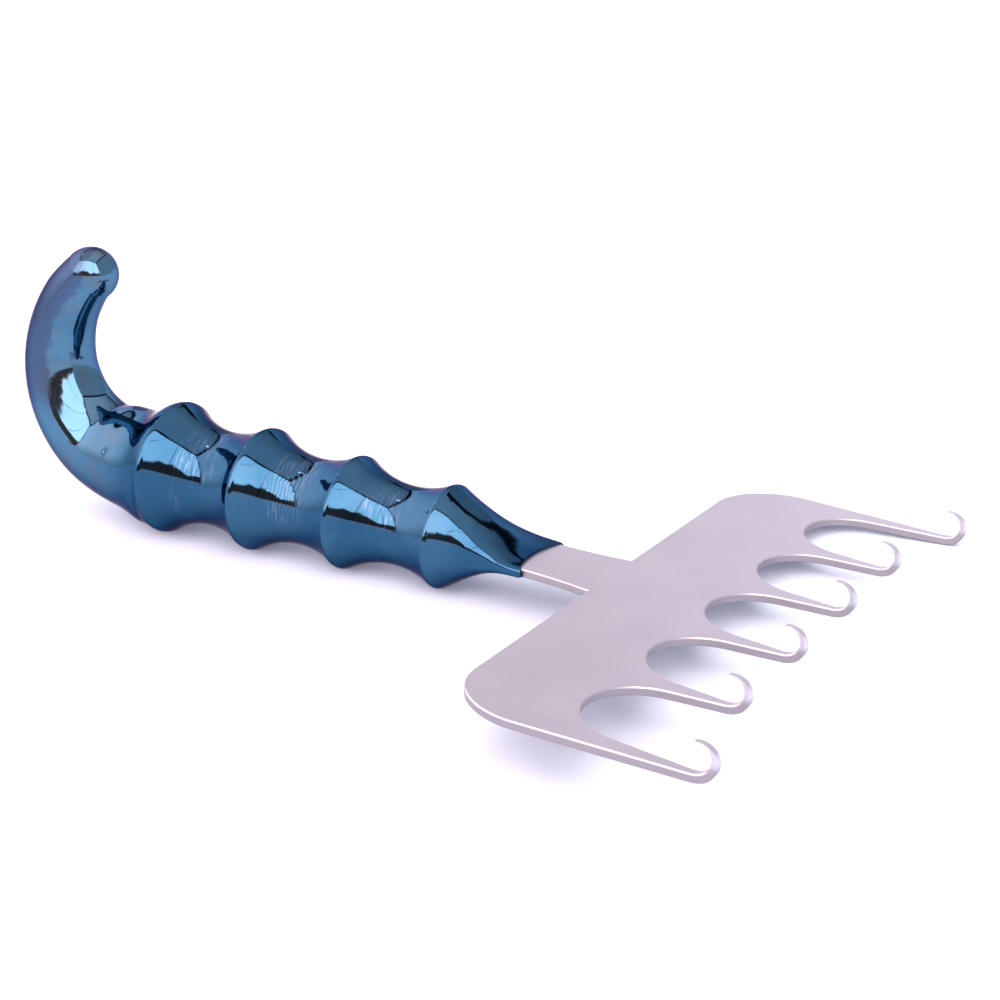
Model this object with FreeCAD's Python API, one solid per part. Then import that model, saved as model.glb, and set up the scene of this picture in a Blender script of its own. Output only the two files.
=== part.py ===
import FreeCAD, Part
import math
import os

# Hand-held rake retractor: a fork of six upturned claws cut and bent from one steel sheet,
# and a ridged solid metal handle that ends in a finger crook. The fork's tang is brazed into
# a pocket in the handle's flattened nose. Everything is in millimetres and degrees.
#
# Both pieces are drawn in the handle's own frame: X runs along the handle's axis towards the
# claws, with 0 at the bottom of the gaps between the prongs, Y runs across the fork, and the
# claws and the crook turn up towards +Z. At the end both are laid on a table, the way the
# instrument comes to rest: on the handle's ridges and on one outer claw.

# Fork: the sheet, its prongs and gaps
SHEET = 1.6
PRONG_COUNT = 6
PRONG_PITCH = 25.0
GAP_ROUND = 10.6
PRONG_LENGTH = 19.1
OUTER_PRONG_EXTRA = 5.2
CLAW_WIDTH = 1.9
SIDE_TAPER = 2.1
BLADE_BACK = 20.4
BACK_CORNER = 15.0
EDGE_BREAK = 0.22

# Claws: each prong's end, curled up and ground to a point
CLAW_LEAD_RADIUS = 6.0
CLAW_LEAD_TURN = 22.6
CLAW_RADIUS = 3.4
CLAW_SWEEP = 106.0
CLAW_FACET_START = 3.2
CLAW_POINT_WIDTH = 0.3

# Shank and tang, which carry the fork in the handle
SHANK_WIDTH = 16.2
SHANK_FLARE = 1.2
SHANK_SEAT = 1.2
TANG_WIDTH = 10.0
TANG_LENGTH = 14.0
FORK_DROOP = 0.94
BRAZE_GAP = 0.05

# Handle nose: flattened to a wide bar that slopes down to a thin upper lip, which bows back
NOSE_END = -34.5
NOSE_WIDTH = 18.4
NOSE_TOP = 1.35
NOSE_TOP_SLOPE = 4.0
NOSE_BOTTOM = 1.25
NOSE_SQUARENESS = 4.0
NOSE_BEVEL = 0.7
NOSE_BEVEL_DEPTH = 0.25
LIP_BOW = 2.0

# Handle grip: round ridges with hollow grooves between them
RIDGE_COUNT = 4
FRONT_RIDGE = -55.2
RIDGE_SPACING = 21.8
FRONT_RIDGE_RADIUS = 10.4
REAR_RIDGE_RADIUS = 13.8
FRONT_CREST_ROUND = 1.2
REAR_CREST_ROUND = 1.5
FRONT_GROOVE_DEPTH = 2.9
REAR_GROOVE_DEPTH = 3.35
CREST_RUNOUT = 34.0
REAR_RUNOUT = 20.0

# Handle crook: a tapering finger hook that sags a little behind the rear ridge, then rises
CROOK_HEEL_BACK = 11.6
CROOK_DROP = 0.3
CROOK_DIP = 0.85
CROOK_ROOT_RADIUS = 10.8
CROOK_TIP_RADIUS = 5.7
CROOK_HEEL_RADIUS = 19.1
CROOK_RISE_RADIUS = 24.7
CROOK_RISE_ANGLE = 48.5
CROOK_EASE = 0.79

ROOT_STATIONS = 4
HEEL_STATIONS = 5
RISE_STATIONS = 4
NOSE_STATIONS = 5
OUTLINE_POINTS = 24
SETTLING_STEPS = 8

X_AXIS = FreeCAD.Vector(1, 0, 0)
Y_AXIS = FreeCAD.Vector(0, 1, 0)
Z_AXIS = FreeCAD.Vector(0, 0, 1)
ORIGIN = FreeCAD.Vector(0, 0, 0)
FACING_FORWARD = FreeCAD.Rotation(FreeCAD.Vector(1, 1, 1), 120)


def flat(x, y):
    """A point of the fork's plan."""
    return FreeCAD.Vector(x, y, 0)


def side(x, z):
    """A point of a side view, in the plane of the handle's axis."""
    return FreeCAD.Vector(x, 0, z)


def polar(centre_x, centre_z, radius, degrees):
    """A point on a circle of the side view, with 0 degrees towards +X and 90 towards +Z."""
    angle = math.radians(degrees)
    return side(centre_x + radius * math.cos(angle), centre_z + radius * math.sin(angle))


def arc(start, middle, end):
    return Part.Arc(start, middle, end).toShape()


def arc_about(centre, start, end):
    """The shorter arc about a centre from start to end."""
    from_centre = start - centre
    middle = from_centre + end - centre
    return arc(start, centre + middle.normalize() * from_centre.Length, end)


def chain(*points):
    return [Part.LineSegment(a, b).toShape() for a, b in zip(points, points[1:])]


def face(edges):
    return Part.Face(Part.Wire(Part.__sortEdges__(edges)))


def tilt_with_fork(shape):
    """Turns a shape about the nose's end, by the angle at which the fork leans down."""
    shape.rotate(side(NOSE_END, 0), Y_AXIS, FORK_DROOP)
    return shape


# Fork

def prong_centres():
    return [PRONG_PITCH * (i - (PRONG_COUNT - 1) / 2) for i in range(PRONG_COUNT)]


def gap_side():
    """Where a gap's round end runs into its straight side, and the side's slope dy/dx."""
    half_mouth = (PRONG_PITCH - CLAW_WIDTH) / 2
    run = PRONG_LENGTH - GAP_ROUND
    reach = math.hypot(run, half_mouth)
    touch = math.atan2(half_mouth, run) + math.acos(GAP_ROUND / reach)
    x = GAP_ROUND + GAP_ROUND * math.cos(touch)
    half_width = GAP_ROUND * math.sin(touch)
    return x, half_width, (half_mouth - half_width) / (PRONG_LENGTH - x)


def gap_half_width(x):
    x_touch, half_width, slope = gap_side()
    return half_width + slope * (x - x_touch)


def outer_prong():
    """Plan of an outer prong's end: its x, and its inner and outer edges as half widths."""
    x = PRONG_LENGTH + OUTER_PRONG_EXTRA
    inner = PRONG_PITCH * (PRONG_COUNT / 2 - 1) + gap_half_width(x)
    return x, inner, inner + CLAW_WIDTH


def half_width_at(x):
    """Half the fork's width at x, between its slightly tapering sides."""
    x_end, _, outer = outer_prong()
    return outer + math.tan(math.radians(SIDE_TAPER)) * (x_end - x)


def bow_radius(half_width, bow):
    """Radius of an arc that bows by a distance over twice a half width."""
    return (half_width ** 2 + bow ** 2) / (2 * bow)


def shank_end_edges(clearance):
    """The shank's bowed end and the tang behind it, grown all round by a clearance."""
    half_shank = SHANK_WIDTH / 2 + clearance
    half_tang = TANG_WIDTH / 2 + clearance
    end_x = NOSE_END - SHANK_SEAT - clearance
    radius = bow_radius(half_shank, LIP_BOW)
    centre = flat(end_x - LIP_BOW + radius, 0)
    root = flat(centre.x - math.sqrt(radius ** 2 - half_tang ** 2), half_tang)
    tang_x = end_x - LIP_BOW - TANG_LENGTH
    half = chain(flat(NOSE_END, half_shank), flat(end_x, half_shank))
    half.append(arc_about(centre, flat(end_x, half_shank), root))
    half += chain(root, flat(tang_x, half_tang), flat(tang_x, 0))
    return half + [edge.mirror(ORIGIN, Y_AXIS) for edge in half]


def shank_flare():
    """The shank's side ahead of the nose, straight at first and curving out to the blade."""
    half_shank = SHANK_WIDTH / 2
    run = -BLADE_BACK - NOSE_END
    radius = bow_radius(run, SHANK_FLARE)
    centre = flat(NOSE_END, half_shank + radius)
    return arc_about(centre, flat(NOSE_END, half_shank), flat(-BLADE_BACK, half_shank + SHANK_FLARE))


def fork_plan():
    """Plan of the fork from the tang to the outer prongs' ends, before its gaps are cut."""
    x_end, _, outer = outer_prong()
    back = -BLADE_BACK
    corner_x = back + BACK_CORNER
    half_back = half_width_at(back)
    half_corner = half_width_at(corner_x)
    bow = BACK_CORNER * (1 - math.sqrt(0.5))
    corner_start = flat(back, half_back - BACK_CORNER)
    corner_end = flat(corner_x, half_corner)
    edges = [shank_flare()] + chain(flat(back, SHANK_WIDTH / 2 + SHANK_FLARE), corner_start)
    edges.append(arc(corner_start, flat(back + bow, half_back - bow), corner_end))
    edges += chain(corner_end, flat(x_end, outer), flat(x_end, 0))
    mirrored = [edge.mirror(ORIGIN, Y_AXIS) for edge in edges]
    return face(edges + mirrored + shank_end_edges(0))


def gap_plan(centre, x_far):
    x_touch, half_width, _ = gap_side()
    far = gap_half_width(x_far)
    start = flat(x_touch, half_width)
    end = flat(x_touch, -half_width)
    edges = chain(start, flat(x_far, far), flat(x_far, -far), end)
    edges.append(arc(end, ORIGIN, start))
    plan = face(edges)
    plan.translate(flat(0, centre))
    return plan


def flat_fork():
    """The sheet with its gaps, cut square where the claws' bends begin."""
    x_end, inner, _ = outer_prong()
    x_far = x_end + OUTER_PRONG_EXTRA
    plan = fork_plan()
    centres = prong_centres()
    for a, b in zip(centres, centres[1:]):
        plan = plan.cut(gap_plan((a + b) / 2, x_far))
    half_inside = inner - CLAW_WIDTH
    ahead = Part.makePlane(x_far - PRONG_LENGTH, 2 * half_inside, flat(PRONG_LENGTH, -half_inside))
    plan = plan.cut(ahead)
    solid = plan.Faces[0].extrude(Z_AXIS * SHEET)
    solid.translate(Z_AXIS * (-SHEET / 2))
    return solid


def soften_outline(solid):
    """Breaks the sheet's long edges, apart from the square ends and the tang in its pocket."""
    ends = [PRONG_LENGTH, outer_prong()[0]]
    edges = []
    for edge in solid.Edges:
        box = edge.BoundBox
        level = box.ZLength < SHEET / 2
        square_end = any(box.XLength < SHEET / 2 and abs(box.XMax - x) < SHEET / 2 for x in ends)
        hidden = box.XMin < NOSE_END - SHANK_SEAT / 2
        if level and not square_end and not hidden:
            edges.append(edge)
    return solid.makeChamfer(EDGE_BREAK, edges)


def claw_profile():
    """Side view of a claw from its bend's start at x = 0: a crescent that ends in a point."""
    low = -SHEET / 2
    high = SHEET / 2
    lead_z = low + CLAW_LEAD_RADIUS
    heading = CLAW_LEAD_TURN - 90
    curl = polar(0, lead_z, CLAW_LEAD_RADIUS - CLAW_RADIUS, heading)
    turned = polar(0, lead_z, CLAW_LEAD_RADIUS, heading)
    tip = polar(curl.x, curl.z, CLAW_RADIUS, CLAW_SWEEP)
    start = polar(0, lead_z, CLAW_LEAD_RADIUS - SHEET, heading)
    to_tip = tip - start
    inward = (curl - turned).normalize()
    hollow = start + inward * (to_tip.Length ** 2 / (2 * to_tip.dot(inward)))
    front = hollow + X_AXIS * (hollow - start).Length
    edges = [arc_about(side(0, lead_z), side(0, low), turned), arc(turned, curl + X_AXIS * CLAW_RADIUS, tip)]
    edges += [arc(tip, front, start), arc_about(side(0, lead_z), start, side(0, high))]
    return face(edges + chain(side(0, high), side(0, low)))


def claw_front_view():
    """Front view of a claw: as wide as its prong, then ground from both sides to a point."""
    low = -SHEET
    top = CLAW_LEAD_RADIUS + CLAW_RADIUS
    half = CLAW_WIDTH / 2
    half_point = CLAW_POINT_WIDTH / 2
    corners = [(-half, low), (half, low), (half, CLAW_FACET_START), (half_point, top),
               (-half_point, top), (-half, CLAW_FACET_START), (-half, low)]
    return Part.Face(Part.makePolygon([FreeCAD.Vector(0, y, z) for y, z in corners]))


def soften_claw(solid):
    """Breaks the long edges of a claw's flat sides."""
    edges = []
    for edge in solid.Edges:
        box = edge.BoundBox
        if box.YLength < SHEET / 100 and box.XMax > SHEET / 100:
            edges.append(edge)
    return solid.makeChamfer(EDGE_BREAK, edges)


def claw(x, y):
    profile = claw_profile()
    profile.translate(Y_AXIS * (-CLAW_WIDTH / 2))
    bent = profile.extrude(Y_AXIS * CLAW_WIDTH)
    ground = bent.common(claw_front_view().extrude(X_AXIS * (2 * CLAW_LEAD_RADIUS)))
    shape = soften_claw(ground.Solids[0])
    shape.translate(flat(x, y))
    return shape


def rake_fork():
    x_outer, inner, outer = outer_prong()
    y_outer = (inner + outer) / 2
    claws = [claw(PRONG_LENGTH, y) for y in prong_centres()[1:-1]]
    claws += [claw(x_outer, -y_outer), claw(x_outer, y_outer)]
    solid = soften_outline(flat_fork()).fuse(claws).removeSplitter()
    return tilt_with_fork(solid.Solids[0])


# Handle

def ridges():
    """Each ridge's x, crest radius and crest rounding, from the front one to the rear one."""
    places = []
    for i in range(RIDGE_COUNT):
        share = i / (RIDGE_COUNT - 1)
        radius = FRONT_RIDGE_RADIUS + share * (REAR_RIDGE_RADIUS - FRONT_RIDGE_RADIUS)
        crest = FRONT_CREST_ROUND + share * (REAR_CREST_ROUND - FRONT_CREST_ROUND)
        places.append((FRONT_RIDGE - i * RIDGE_SPACING, radius, crest))
    return places


def crest_centre(ridge):
    x, radius, crest = ridge
    return side(x, radius - crest)


def groove_centre(front, rear, depth):
    """Centre of the hollow arc that runs tangent into the roundings of two crests."""
    (x1, r1, c1), (x2, r2, c2) = front, rear
    level = (r1 + r2) / 2 - depth
    a = 1 / (r1 - level)
    b = 1 / (r2 - level)
    k1 = (level - r1 + c1) ** 2 - c1 ** 2
    k2 = (level - r2 + c2) ** 2 - c2 ** 2
    spread = b * (x1 - x2)
    constant = spread * (x1 - x2) + b * k2 - a * k1
    back = constant / (spread + math.sqrt(spread ** 2 + (a - b) * constant))
    return side(x1 - back, level + (back ** 2 + k1) * a / 2)


def groove_centres():
    """The hollows' centres from front to rear, with depths that grow evenly to the rear one."""
    places = ridges()
    centres = []
    for i, (front, rear) in enumerate(zip(places, places[1:])):
        share = i / (len(places) - 2)
        depth = FRONT_GROOVE_DEPTH + share * (REAR_GROOVE_DEPTH - FRONT_GROOVE_DEPTH)
        centres.append(groove_centre(front, rear, depth))
    return centres


def run_in(ridge, hollow):
    """Where a crest's rounding runs into the hollow beside it."""
    centre = crest_centre(ridge)
    return centre + (hollow - centre).normalize() * ridge[2]


def crest_end(ridge, degrees):
    """The end of a crest's rounding, at an angle of its small circle in the side view."""
    x, radius, crest = ridge
    return polar(x, radius - crest, crest, degrees)


def grip():
    """The ridged grip, turned from the front crest's rounding back to the rear one's."""
    places = ridges()
    point = crest_end(places[0], 90 - CREST_RUNOUT)
    edges = chain(side(point.x, 0), point)
    for front, rear, hollow in zip(places, places[1:], groove_centres()):
        leave = run_in(front, hollow)
        arrive = run_in(rear, hollow)
        edges.append(arc_about(crest_centre(front), point, leave))
        edges.append(arc_about(hollow, leave, arrive))
        point = arrive
    end = crest_end(places[-1], 90 + REAR_RUNOUT)
    edges.append(arc_about(crest_centre(places[-1]), point, end))
    edges += chain(end, side(end.x, 0), edges[0].Vertexes[0].Point)
    return Part.Face(Part.Wire(edges)).revolve(ORIGIN, X_AXIS, 360)


def squared_oval(x, half_width, bottom, top, power):
    """A section across the nose: an ellipse for the power 2, a squarer bar for more."""
    half_height = (top - bottom) / 2
    points = []
    for i in range(OUTLINE_POINTS):
        angle = 2 * math.pi * i / OUTLINE_POINTS
        across = math.cos(angle)
        upward = math.sin(angle)
        reach = (abs(across) ** power + abs(upward) ** power) ** (-1 / power)
        y = half_width * across * reach
        points.append(FreeCAD.Vector(x, y, bottom + half_height * (1 + upward * reach)))
    curve = Part.BSplineCurve()
    curve.interpolate(Points=points, PeriodicFlag=True)
    return Part.Wire(curve.toShape())


def round_section(centre, heading, radius):
    """A circle across a line that leads off at a heading: 0 towards +X and 90 towards +Z."""
    wire = Part.Wire(Part.Circle(ORIGIN, Z_AXIS, radius).toShape())
    turned = FreeCAD.Rotation(Y_AXIS, -heading).multiply(FACING_FORWARD)
    wire.Placement = FreeCAD.Placement(centre, turned)
    return wire


def ease(share, start, start_slope, end, end_slope=0):
    """A smooth run from start to end that leaves at one slope and arrives at another."""
    rest = 1 - share
    leaving = start * (1 + 2 * share) + start_slope * share
    arriving = end * (3 - 2 * share) - end_slope * rest
    return leaving * rest * rest + arriving * share * share


def nose():
    """The flattened nose: round at the neck, a wide bar at its end, and a short bevel."""
    start = crest_end(ridges()[0], 90 - CREST_RUNOUT)
    x_bevel = NOSE_END - NOSE_BEVEL
    length = x_bevel - start.x
    fall = -math.tan(math.radians(CREST_RUNOUT)) * length
    top_fall = -math.tan(math.radians(NOSE_TOP_SLOPE)) * length
    sections = [round_section(side(start.x, 0), 0, start.z)]
    for i in range(1, NOSE_STATIONS + 1):
        share = i / NOSE_STATIONS
        half_width = ease(share, start.z, fall, NOSE_WIDTH / 2)
        top = ease(share, start.z, fall, NOSE_TOP, top_fall)
        bottom = -ease(share, start.z, fall, NOSE_BOTTOM)
        power = 2 + share * (NOSE_SQUARENESS - 2)
        sections.append(squared_oval(start.x + share * length, half_width, bottom, top, power))
    half_width = NOSE_WIDTH / 2 - NOSE_BEVEL_DEPTH
    bottom = NOSE_BEVEL_DEPTH - NOSE_BOTTOM
    top = NOSE_TOP - NOSE_BEVEL_DEPTH
    tip = squared_oval(NOSE_END, half_width, bottom, top, NOSE_SQUARENESS)
    body = Part.makeLoft(sections, True, False)
    return body.fuse(Part.makeLoft([sections[-1], tip], True, True))


def shank_pocket():
    """Room for the shank and tang, open at the nose's end and above the shank ahead of the lip."""
    half_height = SHEET / 2 + BRAZE_GAP
    half_mouth = SHANK_WIDTH / 2 + BRAZE_GAP
    near = flat(0, -half_mouth)
    far = flat(0, half_mouth)
    ahead = chain(flat(NOSE_END, -half_mouth), near, far, flat(NOSE_END, half_mouth))
    pocket = face(shank_end_edges(BRAZE_GAP) + ahead).extrude(Z_AXIS * (2 * half_height))
    pocket.translate(Z_AXIS * (-half_height))
    radius = bow_radius(NOSE_WIDTH / 2, LIP_BOW)
    disc = Part.makeCylinder(radius, NOSE_WIDTH, flat(NOSE_END - LIP_BOW + radius, 0))
    return tilt_with_fork(pocket.fuse(disc))


def crook_stations():
    """Centre, heading and radius of each round section along the crook, from ridge to tip."""
    start = crest_end(ridges()[-1], 90 + REAR_RUNOUT)
    heel_x = ridges()[-1][0] - CROOK_HEEL_BACK
    heel_z = CROOK_HEEL_RADIUS - CROOK_DROP
    back_x = heel_x - CROOK_HEEL_RADIUS
    heel_run = math.radians(90) * CROOK_HEEL_RADIUS
    rise_run = math.radians(CROOK_RISE_ANGLE) * CROOK_RISE_RADIUS
    length = start.x - heel_x
    fall = -math.tan(math.radians(REAR_RUNOUT)) * length
    stations = []
    for i in range(ROOT_STATIONS):
        share = i / ROOT_STATIONS
        sag = ease(share, 0, 0, CROOK_DROP) + CROOK_DIP * math.sin(math.pi * share) ** 2
        centre = side(start.x - share * length, -sag)
        stations.append((centre, 180, ease(share, start.z, fall, CROOK_ROOT_RADIUS)))
    for i in range(HEEL_STATIONS):
        turn = 90 * i / (HEEL_STATIONS - 1)
        centre = polar(heel_x, heel_z, CROOK_HEEL_RADIUS, 270 - turn)
        share = math.radians(turn) * CROOK_HEEL_RADIUS / (heel_run + rise_run)
        stations.append((centre, 180 - turn, crook_radius(share)))
    for i in range(1, RISE_STATIONS + 1):
        turn = CROOK_RISE_ANGLE * i / RISE_STATIONS
        centre = polar(back_x + CROOK_RISE_RADIUS, heel_z, CROOK_RISE_RADIUS, 180 - turn)
        share = (heel_run + math.radians(turn) * CROOK_RISE_RADIUS) / (heel_run + rise_run)
        stations.append((centre, 90 - turn, crook_radius(share)))
    return stations


def crook_radius(share):
    return CROOK_ROOT_RADIUS + share ** CROOK_EASE * (CROOK_TIP_RADIUS - CROOK_ROOT_RADIUS)


def crook():
    """The crook, with a ball at its tip that its tapering sides run into."""
    stations = crook_stations()
    (before, _, wider), (tip, heading, radius) = stations[-2:]
    taper = math.asin((wider - radius) / (tip - before).Length)
    ahead = polar(tip.x, tip.z, radius * math.sin(taper), heading)
    sections = [round_section(*station) for station in stations[:-1]]
    sections.append(round_section(ahead, heading, radius * math.cos(taper)))
    body = Part.makeLoft(sections, True, False)
    return body.fuse(Part.makeSphere(radius, tip))


def ridged_handle():
    solid = grip().fuse([nose(), crook()]).removeSplitter()
    return solid.cut(shank_pocket()).Solids[0]


# At rest on a table

def outer_claw_touch(up):
    """The lowest point of the far outer claw's bend, seen along up, as the fork leans."""
    x, _, outer = outer_prong()
    down = FreeCAD.Rotation(Y_AXIS, -FORK_DROOP).multVec(up * -1)
    level = side(down.x, down.z).normalize()
    centre = FreeCAD.Vector(x, outer - EDGE_BREAK, CLAW_LEAD_RADIUS - SHEET / 2)
    return tilt_with_fork(Part.Vertex(centre + level * CLAW_LEAD_RADIUS)).Point


def contact_points(up):
    """The lowest points of the front ridge, the rear ridge and the outer claw, seen along up."""
    points = []
    for x, radius, crest in (ridges()[0], ridges()[-1]):
        outward = FreeCAD.Vector(0, -up.y, -up.z).normalize()
        points.append(side(x, 0) + outward * (radius - crest) - up * crest)
    return points + [outer_claw_touch(up)]


def table():
    """The plane that the ridges and the outer claw all touch: a point of it and its normal."""
    up = FreeCAD.Vector(0, 0, 1)
    for _ in range(SETTLING_STEPS):
        front, rear, claw_point = contact_points(up)
        up = (front - rear).cross(claw_point - rear).normalize()
    return rear, up


def lay_down(shapes):
    """Puts the shapes on the table, at z = 0, with the middle of their outline at the origin."""
    touch, up = table()
    level = FreeCAD.Placement(ORIGIN, FreeCAD.Rotation(up, Z_AXIS))
    for shape in shapes:
        shape.Placement = level.multiply(shape.Placement)
    box = Part.makeCompound(shapes).optimalBoundingBox(False, False)
    middle = side((box.XMin + box.XMax) / 2, level.multVec(touch).z)
    middle.y = (box.YMin + box.YMax) / 2
    for shape in shapes:
        shape.translate(middle * -1)
    return shapes


os.makedirs("parts", exist_ok=True)
names = ["ridged_handle", "rake_fork"]
for name, shape in zip(names, lay_down([ridged_handle(), rake_fork()])):
    shape.exportStep("parts/" + name + ".step")
    print(name, "valid", shape.isValid(), "solids", len(shape.Solids), "volume", round(shape.Volume))
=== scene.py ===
import math

import bpy
from mathutils import Euler, Matrix, Vector

# Looks of a hand-held rake retractor: the finish of its blued handle and of its steel fork, and
# the light tent that it stands in. Lengths are in metres unless a name ends in MM.

bl_info = {
    "name": "Rake Retractor Looks",
    "version": (1, 0, 0),
    "blender": (4, 5, 0),
    "location": "View3D > Sidebar > Retractor",
    "description": "Finishes a rake retractor and lights it in a small tent",
    "category": "Object",
}

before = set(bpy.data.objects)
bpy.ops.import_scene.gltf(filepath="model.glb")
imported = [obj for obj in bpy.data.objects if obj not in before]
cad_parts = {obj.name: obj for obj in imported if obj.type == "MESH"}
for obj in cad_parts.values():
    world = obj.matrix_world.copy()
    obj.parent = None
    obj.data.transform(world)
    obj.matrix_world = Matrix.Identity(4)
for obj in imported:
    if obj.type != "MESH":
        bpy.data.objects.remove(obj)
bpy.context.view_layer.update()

HANDLE_NODE = "ridged_handle"
FORK_NODE = "rake_fork"

# How the handle's own frame lies in the row frame: its axis leans down towards the claws, and
# the whole instrument leans sideways on one outer claw. Along its axis, 0 is at the bottom of
# the fork's gaps.
HANDLE_LEAN = Euler((math.radians(-4.0418), math.radians(2.9766), math.radians(-0.1051)))
HANDLE_ORIGIN = Vector((0.0644246, 0.0000210, 0.0075217))
MM_PER_METRE = 1000.0


class Wire:
    """A node's output that takes part in expressions: sums and products add Math nodes."""

    def __init__(self, net, socket):
        self.net = net
        self.socket = socket

    def math(self, operation, *others):
        return self.net.node("ShaderNodeMath", {"operation": operation}, (self, *others))

    def __add__(self, other):
        return self.math("ADD", other)

    def __mul__(self, other):
        return self.math("MULTIPLY", other)

    def __sub__(self, other):
        return self.math("SUBTRACT", other)

    def __truediv__(self, other):
        return self.math("DIVIDE", other)

    def __rsub__(self, other):
        return self.net.node("ShaderNodeMath", {"operation": "SUBTRACT"}, (other, self))

    def __rtruediv__(self, other):
        return self.net.node("ShaderNodeMath", {"operation": "DIVIDE"}, (other, self))

    def __neg__(self):
        return self * -1.0

    def __abs__(self):
        return self.math("ABSOLUTE")

    def __lt__(self, other):
        return self.math("LESS_THAN", other)

    def __gt__(self, other):
        return self.math("GREATER_THAN", other)

    __radd__ = __add__
    __rmul__ = __mul__

    def least(self, other):
        return self.math("MINIMUM", other)

    def most(self, other):
        return self.math("MAXIMUM", other)

    def step(self, low, high):
        """0 below low, 1 above high, and a smooth run between them."""
        return self.net.node("ShaderNodeMapRange", {"interpolation_type": "SMOOTHSTEP"},
                             {"Value": self, "From Min": low, "From Max": high})

    def band(self, low, high, soft):
        """1 between low and high, with edges that run soft to both sides."""
        return self.step(low - soft, low + soft) * (1 - self.step(high - soft, high + soft))


class Net:
    """The nodes of one material or world."""

    def __init__(self, tree):
        self.tree = tree
        tree.nodes.clear()

    def node(self, kind, settings=None, inputs=(), output=0):
        """Adds a node: its settings first, then values or wires for its sockets."""
        node = self.tree.nodes.new(kind)
        for name, value in (settings or {}).items():
            setattr(node, name, value)
        pairs = inputs.items() if isinstance(inputs, dict) else enumerate(inputs)
        for key, value in pairs:
            self.feed(self.find(node.inputs, key), value)
        return Wire(self, self.find(node.outputs, output)) if node.outputs else None

    def find(self, sockets, key):
        if isinstance(key, int):
            return sockets[key]
        return next(s for s in sockets if key in (s.identifier, s.name))

    def feed(self, socket, value):
        if isinstance(value, Wire):
            self.tree.links.new(value.socket, socket)
        else:
            socket.default_value = value

    def mix(self, factor, first, second):
        """A colour between two colours."""
        return self.node("ShaderNodeMix", {"data_type": "RGBA"},
                         {"Factor_Float": factor, "A_Color": rgba(first), "B_Color": rgba(second)},
                         "Result_Color")

    def noise(self, place, scale, detail=2.0, roughness=0.5, distortion=0.0):
        """A cloudy pattern, its scale in clouds per unit of the place, from about 0.2 to 0.8."""
        return self.node("ShaderNodeTexNoise", {"noise_dimensions": "3D"},
                         {"Vector": place, "Scale": scale, "Detail": detail,
                          "Roughness": roughness, "Distortion": distortion})

    def stretch(self, place, scales, turn=(0.0, 0.0, 0.0)):
        """A place that is scaled along each axis and then turned, for drawn-out patterns."""
        return self.node("ShaderNodeMapping", {"vector_type": "POINT"},
                         {"Vector": place, "Rotation": turn, "Scale": scales})

    def turn(self, place, angle):
        """A place that is turned about the z axis."""
        return self.stretch(place, (1.0, 1.0, 1.0), (0.0, 0.0, angle))

    def parts(self, vector):
        """A vector's three numbers."""
        first = self.node("ShaderNodeSeparateXYZ", None, (vector,))
        return [Wire(self, socket) for socket in first.socket.node.outputs]

    def place_on_handle(self):
        """Where a point lies in the handle's own frame, in millimetres."""
        here = self.node("ShaderNodeTexCoord", output="Object")
        scale = (1 / MM_PER_METRE,) * 3
        return self.node("ShaderNodeMapping", {"vector_type": "TEXTURE"},
                         {"Vector": here, "Location": HANDLE_ORIGIN, "Rotation": HANDLE_LEAN,
                          "Scale": scale})

    def bump(self, height_mm):
        """A normal that is moved by a height in millimetres."""
        return self.node("ShaderNodeBump", None,
                         {"Strength": 1.0, "Distance": 1 / MM_PER_METRE, "Height": height_mm})


def rgba(colour):
    return colour if isinstance(colour, Wire) else (*colour, 1.0)


def new_material(name):
    material = bpy.data.materials.new(name)
    material.use_nodes = True
    return material, Net(material.node_tree)


def dress(node_name, material):
    """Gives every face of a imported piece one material."""
    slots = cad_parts[node_name].data.materials
    slots.clear()
    slots.append(material)


def end_in_surface(net, inputs):
    """Ends a material in one surface with the given sockets."""
    surface = net.node("ShaderNodeBsdfPrincipled", None, inputs)
    net.node("ShaderNodeOutputMaterial", None, {"Surface": surface})


class HandleFinish(bpy.types.PropertyGroup):
    """The blued, mirror-polished handle."""
    film: bpy.props.FloatVectorProperty(
        name="Blue film", description="Colour of the thin oxide film on the polished steel",
        default=(0.021, 0.079, 0.148), subtype="COLOR", min=0, max=1)
    teal: bpy.props.FloatVectorProperty(
        name="Teal film", description="Colour where the film is a little thicker",
        default=(0.070, 0.174, 0.268), subtype="COLOR", min=0, max=1)
    violet: bpy.props.FloatVectorProperty(
        name="Violet film", description="Colour of the worn film on the crook's outer side",
        default=(0.048, 0.075, 0.145), subtype="COLOR", min=0, max=1)
    speck: bpy.props.FloatVectorProperty(
        name="Speck", description="Colour of the small brown stains and of the faint haze",
        default=(0.130, 0.105, 0.095), subtype="COLOR", min=0, max=1)
    rim: bpy.props.FloatVectorProperty(
        name="Rim tint", description="Tint of the film where it is seen at a low angle",
        default=(0.440, 0.380, 0.440), subtype="COLOR", min=0, max=1)
    scuff: bpy.props.FloatVectorProperty(
        name="Scuff", description="Pale colour of the fine polishing scratches in the waists",
        default=(0.160, 0.230, 0.330), subtype="COLOR", min=0, max=1)
    gloss: bpy.props.FloatProperty(
        name="Roughness", description="Roughness of the clean polished film",
        default=0.05, min=0, max=1)
    ring_pitch: bpy.props.FloatProperty(
        name="Polish ring pitch",
        description="Distance between the fine rings left by polishing",
        default=0.0008, unit="LENGTH", min=0.0001)


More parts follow.
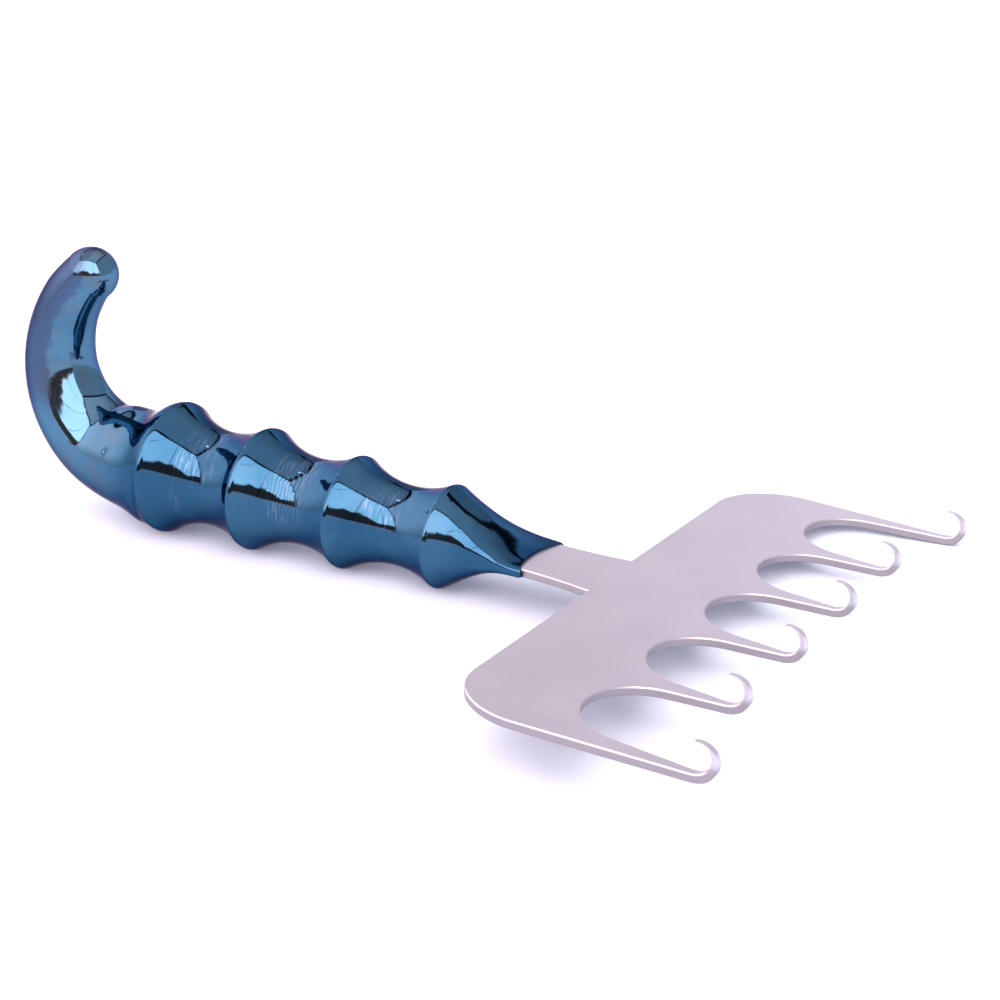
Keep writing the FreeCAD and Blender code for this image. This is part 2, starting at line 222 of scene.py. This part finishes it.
class ForkFinish(bpy.types.PropertyGroup):
    """The satin steel fork."""
    steel: bpy.props.FloatVectorProperty(
        name="Steel", description="Colour of the satin steel",
        default=(0.550, 0.560, 0.635), subtype="COLOR", min=0, max=1)
    # Painted shade: the cut sides are duller steel, and their colour is also darkened to paint the
    # shade that falls on them
    cut_edge_and_shade: bpy.props.FloatVectorProperty(
        name="Cut edge", description="Colour of the duller cut sides of the sheet",
        default=(0.300, 0.290, 0.320), subtype="COLOR", min=0, max=1)
    stain: bpy.props.FloatVectorProperty(
        name="Stain", description="Colour of the few brown stains in the far gap",
        default=(0.150, 0.110, 0.090), subtype="COLOR", min=0, max=1)
    satin: bpy.props.FloatProperty(
        name="Roughness", description="Roughness of the satin faces", default=0.33, min=0, max=1)
    scratch_width: bpy.props.FloatProperty(
        name="Scratch width", description="Width of the finest scratches",
        default=0.0002, unit="LENGTH", min=0.00002)


class TentStage(bpy.types.PropertyGroup):
    """The floor, the lamp and the camera."""
    floor_colour: bpy.props.FloatVectorProperty(
        name="Floor", description="Colour of the plain pale floor",
        default=(0.480, 0.570, 0.660), subtype="COLOR", min=0, max=1)
    floor_glow: bpy.props.FloatVectorProperty(
        name="Floor glow", description="Light that comes up through the tent's floor",
        default=(0.120, 0.120, 0.170), subtype="COLOR", min=0, max=1)
    floor_size: bpy.props.FloatProperty(
        name="Floor size", description="Side of the square floor", default=12.0, unit="LENGTH")
    lamp_place: bpy.props.FloatVectorProperty(
        name="Lamp place", description="Where the lamp above the tent's roof hangs",
        default=(-0.10, 0.25, 1.10), subtype="TRANSLATION")
    lamp_size: bpy.props.FloatProperty(
        name="Lamp size", description="Side of the square lamp", default=0.9, unit="LENGTH")
    lamp_power: bpy.props.FloatProperty(
        name="Lamp power", description="Power of the lamp, in watts", default=5.0, unit="POWER")
    camera_azimuth: bpy.props.FloatProperty(
        name="Camera azimuth",
        description="Turn of the camera about the object, from its near side",
        default=math.radians(29.357), unit="ROTATION")
    camera_elevation: bpy.props.FloatProperty(
        name="Camera elevation", description="Height of the camera's line of sight",
        default=math.radians(21.936), unit="ROTATION")
    camera_roll: bpy.props.FloatProperty(
        name="Camera roll", description="Tilt of the camera about its line of sight",
        default=math.radians(-1.160), unit="ROTATION")
    camera_distance: bpy.props.FloatProperty(
        name="Camera distance", description="From the point it looks at to the camera",
        default=0.41573, unit="LENGTH")
    camera_target: bpy.props.FloatVectorProperty(
        name="Camera target", description="The point that the camera looks at",
        default=(0.010999, 0.017678, 0.012), subtype="TRANSLATION")
    focal_length: bpy.props.FloatProperty(
        name="Focal length", description="Focal length of the lens, in millimetres",
        default=74.666, min=1)


# Where the handle's marks lie, in millimetres along its axis and above it. The film changes
# between the two ends of a run.
CROOK_RUN_MM = (-142.0, -116.0)
WORN_RUN_MM = (-140.0, -128.0)
WORN_RISE_MM = (6.0, 14.0)
WAIST_MM = -66.1
RIDGE_SPACING_MM = 21.8
SCUFFED_MM = (-118.0, -60.0)
SCUFFED_SOFT_MM = 4.0
RINGED_MM = (-100.0, -76.0)
RINGED_SOFT_MM = 2.0
RING_WOBBLE_MM = 1.6

# The value that every noise swings about
NOISE_MIDDLE = 0.5

# How much of the surface each mark covers. A mark is missing where its noise is below the first
# number and whole where it is above the second.
FILM_CLOUDS = (0.38, 0.64)
STAINS = (0.56, 0.64)
HAZE = (0.50, 0.75)
SMUDGES = (0.55, 0.75)
SCUFFS = (0.48, 0.66)
SCUFF_PATCHES = (0.40, 0.55)
RING_PATCHES = (0.38, 0.55)

# Where a wave along the axis counts as a waist, and as the crest of a polishing ring
WAIST_WAVE = (-0.2, 0.7)
RING_CREST = (0.0, 0.9)

# How smudges and scuffs are drawn out along the handle's three axes
SMUDGE_STRETCH = (1.0, 0.25, 0.25)
SCUFF_STRETCH = (1.6, 0.22, 0.22)
SCUFF_TURN = (0.5, 0.35, 0.6)

# How far each mark turns the film to its own colour
CLOUD_COLOUR = 0.25
CROOK_COLOUR = 0.75
WORN_COLOUR = 0.75
STAIN_COLOUR = 0.7
HAZE_COLOUR = 0.06
HAZE_COLOUR_ON_CROOK = 0.28
SCUFF_COLOUR = 0.40
RING_COLOUR = 0.22

# What each mark adds to the film's roughness
WORN_ROUGHNESS = 0.12
HAZE_ROUGHNESS = 0.07
SMUDGE_ROUGHNESS = 0.03
STAIN_ROUGHNESS = 0.15
SCUFF_ROUGHNESS = 0.08

# The worn film's border: how far a surface may face the claws and still be worn, how ragged the
# border is, and how wide the film changes and the stains gather there
WORN_FACING = 0.42
WORN_RAGGED = 0.7
WORN_EDGE = (0.0, 0.20)
BORDER = (-0.14, 0.16)
BORDER_SOFT = 0.10

# How high the polishing rings and the surface's slow ripple stand
RING_HEIGHT_MM = 0.0020
RIPPLE_HEIGHT_MM = 0.05


def handle_material(look):
    """Polished steel under a thin blue film that is worn and stained on the crook."""
    material, net = new_material("blued_polished_steel")
    place = net.place_on_handle()
    along, _, up = net.parts(place)
    facing_claws, _, _ = net.parts(net.node("ShaderNodeTexCoord", output="Normal"))

    clouds = net.noise(place, scale=0.045, detail=3.0, roughness=0.55, distortion=0.6)
    toward_crook = 1 - along.step(*CROOK_RUN_MM)
    thicker = clouds.step(*FILM_CLOUDS) * CLOUD_COLOUR + toward_crook * CROOK_COLOUR
    film = net.mix(thicker.least(1.0), look.film, look.teal)

    # The crook's outer side, where the film has worn to violet, with a ragged border
    ragged = net.noise(place, scale=0.40, detail=6.0, roughness=0.7)
    outer = (WORN_FACING - facing_claws) + (ragged - NOISE_MIDDLE) * WORN_RAGGED
    raised = up.step(*WORN_RISE_MM) * (1 - along.step(*WORN_RUN_MM))
    worn = outer.step(*WORN_EDGE) * raised
    film = net.mix(worn * WORN_COLOUR, film, look.violet)

    # Small brown stains along that border, and a faint brown haze in patches
    border = outer.band(*BORDER, BORDER_SOFT) * raised
    stains = border * net.noise(place, scale=1.6, detail=3.0, roughness=0.6).step(*STAINS)
    film = net.mix(stains * STAIN_COLOUR, film, look.speck)
    haze = net.noise(place, scale=0.16, detail=5.0, roughness=0.6).step(*HAZE)
    film = net.mix(haze * (toward_crook * HAZE_COLOUR_ON_CROOK + HAZE_COLOUR), film, look.speck)

    wiped = net.stretch(place, scales=SMUDGE_STRETCH)
    smudge = net.noise(wiped, scale=1.4, detail=3.0).step(*SMUDGES)
    rough = (look.gloss + worn * WORN_ROUGHNESS + haze * HAZE_ROUGHNESS
             + smudge * SMUDGE_ROUGHNESS + stains * STAIN_ROUGHNESS)

    # Polishing marks in the waists, which scatter the light and pale the film: fine scratches
    # that run with the curve, and rings about the handle's axis
    phase = (along - WAIST_MM) * (2 * math.pi / RIDGE_SPACING_MM)
    in_waist = phase.math("COSINE").step(*WAIST_WAVE) * along.band(*SCUFFED_MM, SCUFFED_SOFT_MM)
    drawn = net.stretch(place, scales=SCUFF_STRETCH, turn=SCUFF_TURN)
    scuffs = net.noise(drawn, scale=1.1, detail=5.0, roughness=0.65).step(*SCUFFS)
    scuffed = scuffs * in_waist * net.noise(place, scale=0.09).step(*SCUFF_PATCHES)
    film = net.mix(scuffed * SCUFF_COLOUR, film, look.scuff)
    rough = rough + scuffed * SCUFF_ROUGHNESS

    wobble = net.noise(place, scale=0.35) * RING_WOBBLE_MM
    ring_pitch_mm = look.ring_pitch * MM_PER_METRE
    wave = ((along + wobble) * (2 * math.pi / ring_pitch_mm)).math("SINE")
    ringed = (in_waist * along.band(*RINGED_MM, RINGED_SOFT_MM)
              * net.noise(place, scale=0.12).step(*RING_PATCHES))
    film = net.mix(wave.step(*RING_CREST) * ringed * RING_COLOUR, film, look.scuff)

    height = wave * ringed * RING_HEIGHT_MM
    ripple = net.noise(place, scale=0.10) * RIPPLE_HEIGHT_MM
    end_in_surface(net, {"Metallic": 1.0, "Base Color": film, "Roughness": rough,
                         "Normal": net.bump(height + ripple), "Specular Tint": rgba(look.rim)})
    return material


# How far up a surface of the fork faces: below the first number it is a cut side, above the second
# a face of the sheet.
# Cut sides are dull, rougher and darkened with painted shade up to where the claws rise out of the
# sheet, and the chamfers take part of that painted shade.
FACING_UP = (0.20, 0.95)
CLAW_RISE_MM = (0.9, 2.5)

# Where the far gap's cut side is stained, along the handle's axis and across it
STAINED_ALONG_MM = (-1.0, 6.0)
STAINED_ACROSS_MM = (38.5, 47.0)
STAINED_SOFT_MM = 1.5
GAP_STAIN_COLOUR = 0.75

# How much of the steel its faint clouds, the stained spots and the scratches cover
STEEL_CLOUDS = (0.35, 0.65)
SPOTS = (0.54, 0.62)
SCRATCHES = (0.62, 0.72)

# The clouds' darker shade, the scratches' directions, slenderness, crowding and depth, and the
# grain's height
CLOUD_SHADE = 0.95
SCRATCH_TURNS = (0.35, 1.25, 2.30)
SCRATCH_SLENDER = 0.03
SCRATCH_CROWDING = 0.4
SCRATCH_DEPTH_MM = 0.0008
GRAIN_HEIGHT_MM = 0.0010

# What each mark adds to the steel's roughness
CUT_ROUGHNESS = 0.16
SCRATCH_ROUGHNESS = 0.05
CLOUD_ROUGHNESS = 0.08
GRAIN_ROUGHNESS = 0.06


def fork_material(look):
    """Satin steel with fine scratches that run every way."""
    material, net = new_material("satin_instrument_steel")
    place = net.place_on_handle()
    along, across, up = net.parts(place)
    scratches_per_mm = 1 / (look.scratch_width * MM_PER_METRE)

    clouds = net.noise(place, scale=0.06, detail=4.0, roughness=0.6)
    shaded = [channel * CLOUD_SHADE for channel in look.steel]
    steel = net.mix(clouds.step(*STEEL_CLOUDS), shaded, look.steel)
    _, _, facing_up = net.parts(net.node("ShaderNodeTexCoord", output="Normal"))
    # The cut sides' darker colour is partly duller steel and partly painted shade; the claws' sides
    # are left out of it
    cut_and_shaded_side = (1 - facing_up.step(*FACING_UP)) * (1 - up.step(*CLAW_RISE_MM))
    steel = net.mix(cut_and_shaded_side, steel, look.cut_edge_and_shade)

    # A few brown stains on the far gap's cut side
    in_far_gap = (along.band(*STAINED_ALONG_MM, STAINED_SOFT_MM)
                  * across.band(*STAINED_ACROSS_MM, STAINED_SOFT_MM) * cut_and_shaded_side)
    spots = net.noise(place, scale=1.3, detail=3.0, roughness=0.6).step(*SPOTS)
    steel = net.mix(in_far_gap * spots * GAP_STAIN_COLOUR, steel, look.stain)

    scratches = 0.0
    for turn in SCRATCH_TURNS:
        drawn = net.stretch(net.turn(place, turn), scales=(SCRATCH_SLENDER, 1.0, 1.0))
        lines = net.noise(drawn, scale=scratches_per_mm * SCRATCH_CROWDING, roughness=0.6)
        scratches = scratches + lines.step(*SCRATCHES)
    grain = net.noise(place, scale=scratches_per_mm, roughness=0.7)
    rough = (look.satin + cut_and_shaded_side * CUT_ROUGHNESS + scratches * SCRATCH_ROUGHNESS
             + (clouds - NOISE_MIDDLE) * CLOUD_ROUGHNESS + (grain - NOISE_MIDDLE) * GRAIN_ROUGHNESS)
    height = grain * GRAIN_HEIGHT_MM - scratches * SCRATCH_DEPTH_MM
    end_in_surface(net, {"Metallic": 1.0, "Base Color": steel, "Roughness": rough,
                         "Normal": net.bump(height)})
    return material


def floor_material(look):
    """A dull pale floor that glows a little, as cloth does with light behind it."""
    material, net = new_material("plain_pale_floor")
    end_in_surface(net, {"Base Color": rgba(look.floor_colour), "Roughness": 0.9,
                         "Specular IOR Level": 0.1, "Emission Color": rgba(look.floor_glow),
                         "Emission Strength": 1.0})
    return material


# The tent's inside, in units of the distance from the object to its open front. Its front faces
# the camera's side, turned by an angle from the object's near side.
TENT_TURN = -16.5
TENT_SIDE = 1.80
TENT_FRONT = 1.0
TENT_BACK = 5.0
TENT_ROOF = 3.0
OPENING_HALF_WIDTH = 1.62
OPENING_SILL = 0.12
OPENING_HEAD = 2.75
WINDOW_BARS = (-0.95, -0.15, 0.70)
WINDOW_BAR_SHARE = 0.6
SEAM_HALF_WIDTH = 0.035
SEAM_SHARE = 0.10
COVE = (-0.2, 0.7)

# Dark furniture in the room outside, below its uneven head
FURNITURE_HEAD = 0.86
FURNITURE_EDGE = 0.12
FURNITURE_UNEVEN = 0.90

LEFT_WALL = (3.30, 2.45, 2.50)
RIGHT_WALL = (0.95, 0.85, 0.90)
WALL_CHANGE = (-0.05, 0.05)
BACK_WALL_LEFT = (0.95, 0.85, 0.94)
BACK_WALL_RIGHT = (1.50, 1.36, 1.55)
BACK_WALL_CHANGE = (-0.15, 0.20)
FRONT_WALL = (1.90, 1.50, 1.60)
ROOF_NEAR = (1.85, 1.47, 1.50)
ROOF_FAR = (1.00, 0.77, 0.78)
BRIGHT_ROOM = (6.60, 5.10, 4.90)
DARK_ROOM = (0.35, 0.16, 0.13)
COVE_FOOT = (1.05, 1.05, 1.10)
SEAM = (0.03, 0.03, 0.04)
BACKDROP = (1.0, 1.0, 1.0)

# A small bright lamp in the roof. Its edge is in cosines of the angle from its middle.
GLINT = (14.0, 11.0, 10.5)
GLINT_TOWARDS = (-0.492, 0.087, 0.866)
GLINT_EDGE = (0.9985, 0.9998)
NOT_ZERO = 0.0001


def tent_light(world):
    """A light tent seen from inside: pale walls, a duller roof and an open front."""
    net = Net(world.node_tree)
    direction = net.node("ShaderNodeTexCoord", output="Generated")
    turned = net.turn(direction, math.radians(TENT_TURN))
    x, y, z = net.parts(turned)
    to_side = TENT_SIDE / abs(x).most(NOT_ZERO)
    to_front = TENT_FRONT / (-y).most(NOT_ZERO)
    to_back = TENT_BACK / y.most(NOT_ZERO)
    to_roof = TENT_ROOF / z.most(NOT_ZERO)
    to_wall = to_side.least(to_front).least(to_back)
    nearest = to_wall.least(to_roof)
    hit_x = x * nearest
    hit_y = y * nearest
    hit_z = z * nearest

    wall = net.mix(x.step(*WALL_CHANGE), LEFT_WALL, RIGHT_WALL)
    back = net.mix(x.step(*BACK_WALL_CHANGE), BACK_WALL_LEFT, BACK_WALL_RIGHT)
    wall = net.mix(to_back < to_side, wall, back)
    wall = net.mix(hit_z.step(*COVE), COVE_FOOT, wall)

    across_opening = abs(hit_x) < OPENING_HALF_WIDTH
    in_opening = across_opening * (hit_z > OPENING_SILL) * (hit_z < OPENING_HEAD)
    uneven = net.noise(turned, scale=2.2, detail=1.0) * FURNITURE_UNEVEN
    above = (hit_z + uneven).step(FURNITURE_HEAD, FURNITURE_HEAD + FURNITURE_EDGE)
    room = net.mix(above, DARK_ROOM, BRIGHT_ROOM)
    wall = net.mix(to_front < to_side, wall, net.mix(in_opening, FRONT_WALL, room))
    roof = net.mix(hit_y.step(0.0, TENT_BACK), ROOF_NEAR, ROOF_FAR)
    wall = net.mix(to_roof < to_wall, wall, roof)

    # The opening's dark frame and thin window bars, and the fold between the walls and the roof
    at_side = abs(abs(hit_x) - OPENING_HALF_WIDTH) < SEAM_HALF_WIDTH
    at_head = (abs(hit_z - OPENING_HEAD) < SEAM_HALF_WIDTH) * across_opening
    bars = at_side * (hit_z < OPENING_HEAD) + at_head
    for bar in WINDOW_BARS:
        at_bar = abs(hit_x - bar) < SEAM_HALF_WIDTH / 2
        bars = bars + at_bar * in_opening * WINDOW_BAR_SHARE
    fold = 1 - abs(to_roof / to_wall - 1.0).step(SEAM_SHARE / 2, SEAM_SHARE)
    seams = fold + bars * (to_front < to_side) * (to_front < to_roof)
    wall = net.mix(seams.least(1.0), wall, SEAM)
    toward_glint = net.node("ShaderNodeVectorMath", {"operation": "DOT_PRODUCT"},
                            (direction, GLINT_TOWARDS), "Value")
    wall = net.mix(toward_glint.step(*GLINT_EDGE), wall, GLINT)

    seen = net.node("ShaderNodeLightPath", output="Is Camera Ray")
    light = net.node("ShaderNodeBackground", None, {"Color": net.mix(seen, wall, BACKDROP)})
    net.node("ShaderNodeOutputWorld", None, {"Surface": light})


def add_to_scene(name, data):
    piece = bpy.data.objects.new(name, data)
    bpy.context.scene.collection.objects.link(piece)
    return piece


def add_floor(look):
    half = look.floor_size / 2
    mesh = bpy.data.meshes.new("floor")
    mesh.from_pydata([(-half, -half, 0), (half, -half, 0), (half, half, 0), (-half, half, 0)],
                     [], [(0, 1, 2, 3)])
    mesh.materials.append(floor_material(look))
    add_to_scene("floor", mesh)


def add_lamp(look):
    """A square soft lamp that points at the object and isn't mirrored in it."""
    data = bpy.data.lights.new("roof_lamp", "AREA")
    data.shape = "SQUARE"
    data.size = look.lamp_size
    data.energy = look.lamp_power
    lamp = add_to_scene("roof_lamp", data)
    lamp.location = look.lamp_place
    lamp.rotation_euler = (-Vector(look.lamp_place)).to_track_quat("-Z", "Y").to_euler()
    lamp.visible_glossy = False


# The camera sees nothing nearer than this
NEAREST_SEEN = 0.01


def add_camera(look):
    data = bpy.data.cameras.new("photo_camera")
    data.lens = look.focal_length
    data.clip_start = NEAREST_SEEN
    camera = add_to_scene("photo_camera", data)
    turn = Euler((math.pi / 2 - look.camera_elevation, 0.0, look.camera_azimuth)).to_matrix()
    turn = turn @ Matrix.Rotation(look.camera_roll, 3, "Z")
    back = turn @ Vector((0.0, 0.0, look.camera_distance))
    camera.matrix_world = Matrix.Translation(Vector(look.camera_target) + back) @ turn.to_4x4()
    bpy.context.scene.camera = camera


class RETRACTOR_OT_finish_handle(bpy.types.Operator):
    """Gives the ridged handle its blued, polished finish"""
    bl_idname = "retractor.finish_handle"
    bl_label = "Finish Handle"

    def execute(self, context):
        dress(HANDLE_NODE, handle_material(context.scene.retractor_handle))
        return {"FINISHED"}


class RETRACTOR_OT_finish_fork(bpy.types.Operator):
    """Gives the fork its satin steel finish"""
    bl_idname = "retractor.finish_fork"
    bl_label = "Finish Fork"

    def execute(self, context):
        dress(FORK_NODE, fork_material(context.scene.retractor_fork))
        return {"FINISHED"}


class RETRACTOR_OT_set_stage(bpy.types.Operator):
    """Adds the floor, the tent's light, the lamp and the camera"""
    bl_idname = "retractor.set_stage"
    bl_label = "Set Stage"

    def execute(self, context):
        look = context.scene.retractor_stage
        add_floor(look)
        world = bpy.data.worlds.new("light_tent")
        world.use_nodes = True
        context.scene.world = world
        tent_light(world)
        add_lamp(look)
        add_camera(look)
        context.scene.view_settings.view_transform = "Standard"
        return {"FINISHED"}


class RETRACTOR_PT_panel(bpy.types.Panel):
    """Lists the looks and what builds them"""
    bl_idname = "RETRACTOR_PT_panel"
    bl_label = "Rake Retractor"
    bl_space_type = "VIEW_3D"
    bl_region_type = "UI"
    bl_category = "Retractor"

    def draw(self, context):
        for operator, group in STEPS:
            box = self.layout.box()
            looks = getattr(context.scene, group)
            for name in looks.bl_rna.properties.keys():
                if name not in ("rna_type", "name"):
                    box.prop(looks, name)
            box.operator(operator)


STEPS = (
    ("retractor.finish_handle", "retractor_handle"),
    ("retractor.finish_fork", "retractor_fork"),
    ("retractor.set_stage", "retractor_stage"),
)

CLASSES = (
    HandleFinish, ForkFinish, TentStage,
    RETRACTOR_OT_finish_handle, RETRACTOR_OT_finish_fork, RETRACTOR_OT_set_stage,
    RETRACTOR_PT_panel,
)


def register():
    for item in CLASSES:
        bpy.utils.register_class(item)
    bpy.types.Scene.retractor_handle = bpy.props.PointerProperty(type=HandleFinish)
    bpy.types.Scene.retractor_fork = bpy.props.PointerProperty(type=ForkFinish)
    bpy.types.Scene.retractor_stage = bpy.props.PointerProperty(type=TentStage)


def unregister():
    del bpy.types.Scene.retractor_stage
    del bpy.types.Scene.retractor_fork
    del bpy.types.Scene.retractor_handle
    for item in reversed(CLASSES):
        bpy.utils.unregister_class(item)


def main():
    register()
    bpy.ops.retractor.finish_handle()
    bpy.ops.retractor.finish_fork()
    bpy.ops.retractor.set_stage()


if __name__ == "__main__":
    main()
